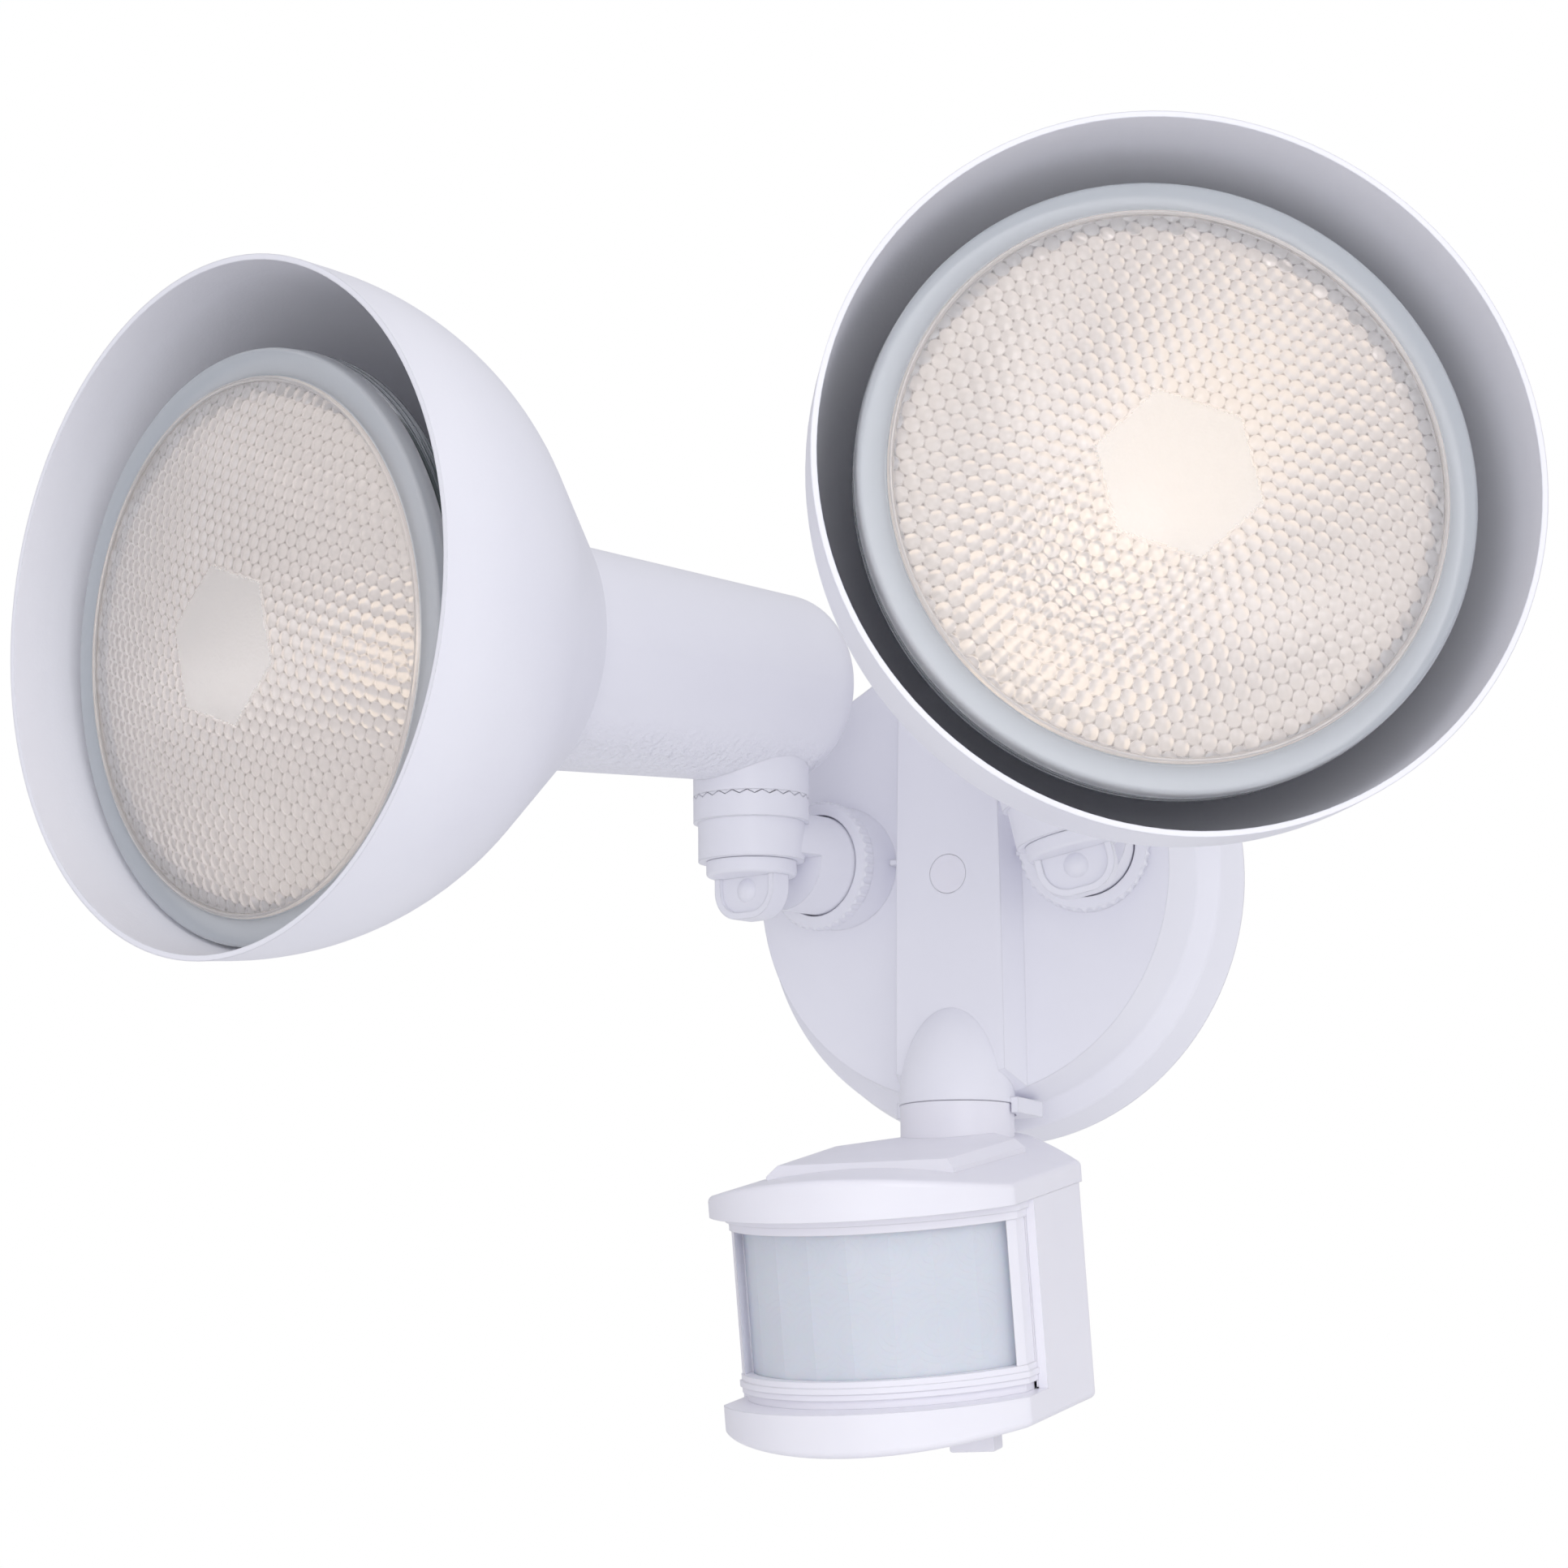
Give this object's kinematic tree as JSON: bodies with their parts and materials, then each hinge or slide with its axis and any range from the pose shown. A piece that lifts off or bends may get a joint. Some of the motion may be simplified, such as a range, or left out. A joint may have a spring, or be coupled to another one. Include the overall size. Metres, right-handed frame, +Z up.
{
  "type": "motion sensor security light",
  "caption": "Wall-mounted security light with swivelling lamp heads in bell shades on a round canopy and a panning motion sensor head below.",
  "frame": {"origin": "centre of the canopy's back on the wall plane, which is also the middle of the strap's pair of slots", "axes": "+Z up, +X to the right seen from in front of the wall, the light stands out of the wall along -Y"},
  "size_m": [0.325, 0.211, 0.2501],
  "materials": {
    "white_enamel": "satin white baked enamel",
    "white_plastic": "satin white moulded plastic",
    "lens_sheet": "milky translucent ribbed sheet",
    "clear_glass": "clear moulded glass",
    "silvered_glass": "silvered glass",
    "zinc_steel": "zinc plated steel",
    "brass_screw": "plain brass",
    "nickel_brass": "nickel plated brass",
    "porcelain": "glazed porcelain",
    "seal_rubber": "soft moulded rubber",
    "silicone": "grey silicone",
    "circuit_green": "solder-masked board",
    "black_plastic": "matt black",
    "quartz": "fused quartz",
    "green_screw": "green dyed steel"
  },
  "bodies": {
    "canopy_body": {"canopy": "white_enamel", "wall_gasket": "seal_rubber", "mounting_strap": "zinc_steel", "canopy_screw": "zinc_steel", "screw_plug": "white_plastic", "ground_screw": "green_screw"},
    "left_arm_body": {"left_arm": "white_enamel", "left_arm_retainer": "zinc_steel"},
    "left_lock_nut_body": {"left_lock_nut": "white_enamel"},
    "left_thumb_screw_body": {"left_thumb_screw": "white_enamel"},
    "left_head_body": {"left_lampholder": "white_enamel", "left_clamp_insert": "brass_screw", "left_mouth_seal": "silicone", "left_shade": "white_enamel", "left_shade_ring": "zinc_steel", "left_socket": "porcelain", "left_screw_shell": "nickel_brass", "left_centre_contact": "brass_screw"},
    "left_lamp_body": {"left_lamp_lens": "clear_glass", "left_lamp_reflector": "silvered_glass", "left_lamp_base": "nickel_brass", "left_lamp_tip": "black_plastic", "left_lamp_capsule": "quartz"},
    "right_arm_body": {"right_arm": "white_enamel", "right_arm_retainer": "zinc_steel"},
    "right_lock_nut_body": {"right_lock_nut": "white_enamel"},
    "right_thumb_screw_body": {"right_thumb_screw": "white_enamel"},
    "right_head_body": {"right_lampholder": "white_enamel", "right_clamp_insert": "brass_screw", "right_mouth_seal": "silicone", "right_shade": "white_enamel", "right_shade_ring": "zinc_steel", "right_socket": "porcelain", "right_screw_shell": "nickel_brass", "right_centre_contact": "brass_screw"},
    "right_lamp_body": {"right_lamp_lens": "clear_glass", "right_lamp_reflector": "silvered_glass", "right_lamp_base": "nickel_brass", "right_lamp_tip": "black_plastic", "right_lamp_capsule": "quartz"},
    "sensor_body": {"sensor_upper_housing": "white_plastic", "neck_nut": "zinc_steel", "sensor_rear_housing": "white_plastic", "sensor_lens_frame": "white_plastic", "fresnel_lens": "lens_sheet", "circuit_board": "circuit_green", "pir_element": "zinc_steel", "photocell": "clear_glass", "relay": "black_plastic", "capacitor": "black_plastic", "housing_screws": "zinc_steel"},
    "time_switch_body": {"time_switch": "white_plastic"},
    "range_dial_body": {"range_dial": "white_plastic"}
  },
  "joints": [
    {"name": "left_swivel", "type": "hinge", "parent": "canopy_body", "child": "left_arm_body", "pos_m": [-0.03055, -0.02705, 0.004], "axis": [-0.2588, -0.9659, 0], "range_deg": [-5, 75]},
    {"name": "left_pan", "type": "hinge", "parent": "left_arm_body", "child": "left_head_body", "pos_m": [-0.03699, -0.0511, 0.0165], "axis": [0, 0, 1], "range_deg": [-60, 0]},
    {"name": "left_lock_nut_turn", "type": "hinge", "parent": "canopy_body", "child": "left_lock_nut_body", "pos_m": [-0.03104, -0.02888, 0.004], "axis": [-0.2588, -0.9659, 0], "continuous": true},
    {"name": "left_thumb_screw_turn", "type": "hinge", "parent": "left_arm_body", "child": "left_thumb_screw_body", "pos_m": [-0.03699, -0.0511, 0.004], "axis": [0, 0, 1], "continuous": true},
    {"name": "left_lamp_turn", "type": "hinge", "parent": "left_head_body", "child": "left_lamp_body", "pos_m": [-0.04201, -0.06417, 0.041], "axis": [-0.3809, -0.9229, -0.0558], "range_deg": [0, 90]},
    {"name": "right_swivel", "type": "hinge", "parent": "canopy_body", "child": "right_arm_body", "pos_m": [0.03055, -0.02705, 0.004], "axis": [0.2588, -0.9659, 0], "range_deg": [-75, 5]},
    {"name": "right_pan", "type": "hinge", "parent": "right_arm_body", "child": "right_head_body", "pos_m": [0.03423, -0.05184, 0.01617], "axis": [-0.2206, -0.0591, 0.9736], "range_deg": [-15, 45]},
    {"name": "right_lock_nut_turn", "type": "hinge", "parent": "canopy_body", "child": "right_lock_nut_body", "pos_m": [0.03104, -0.02888, 0.004], "axis": [0.2588, -0.9659, 0], "continuous": true},
    {"name": "right_thumb_screw_turn", "type": "hinge", "parent": "right_arm_body", "child": "right_thumb_screw_body", "pos_m": [0.03699, -0.0511, 0.004], "axis": [-0.2206, -0.0591, 0.9736], "continuous": true},
    {"name": "right_lamp_turn", "type": "hinge", "parent": "right_head_body", "child": "right_lamp_body", "pos_m": [0.03701, -0.06459, 0.04119], "axis": [0.5841, -0.8074, 0.0833], "range_deg": [0, 90]},
    {"name": "sensor_pan", "type": "hinge", "parent": "canopy_body", "child": "sensor_body", "pos_m": [0, -0.0275, -0.0496], "axis": [0, 0, 1], "range_deg": [-60, 60]},
    {"name": "time_switch_slide", "type": "slide", "parent": "sensor_body", "child": "time_switch_body", "axis": [0.9965, 0.0837, 0], "range_m": [-0.003, 0.003]},
    {"name": "range_dial_turn", "type": "hinge", "parent": "sensor_body", "child": "range_dial_body", "pos_m": [-0.01042, -0.04679, -0.11456], "axis": [0.016, -0.1901, 0.9816], "range_deg": [-135, 135]}
  ]
}
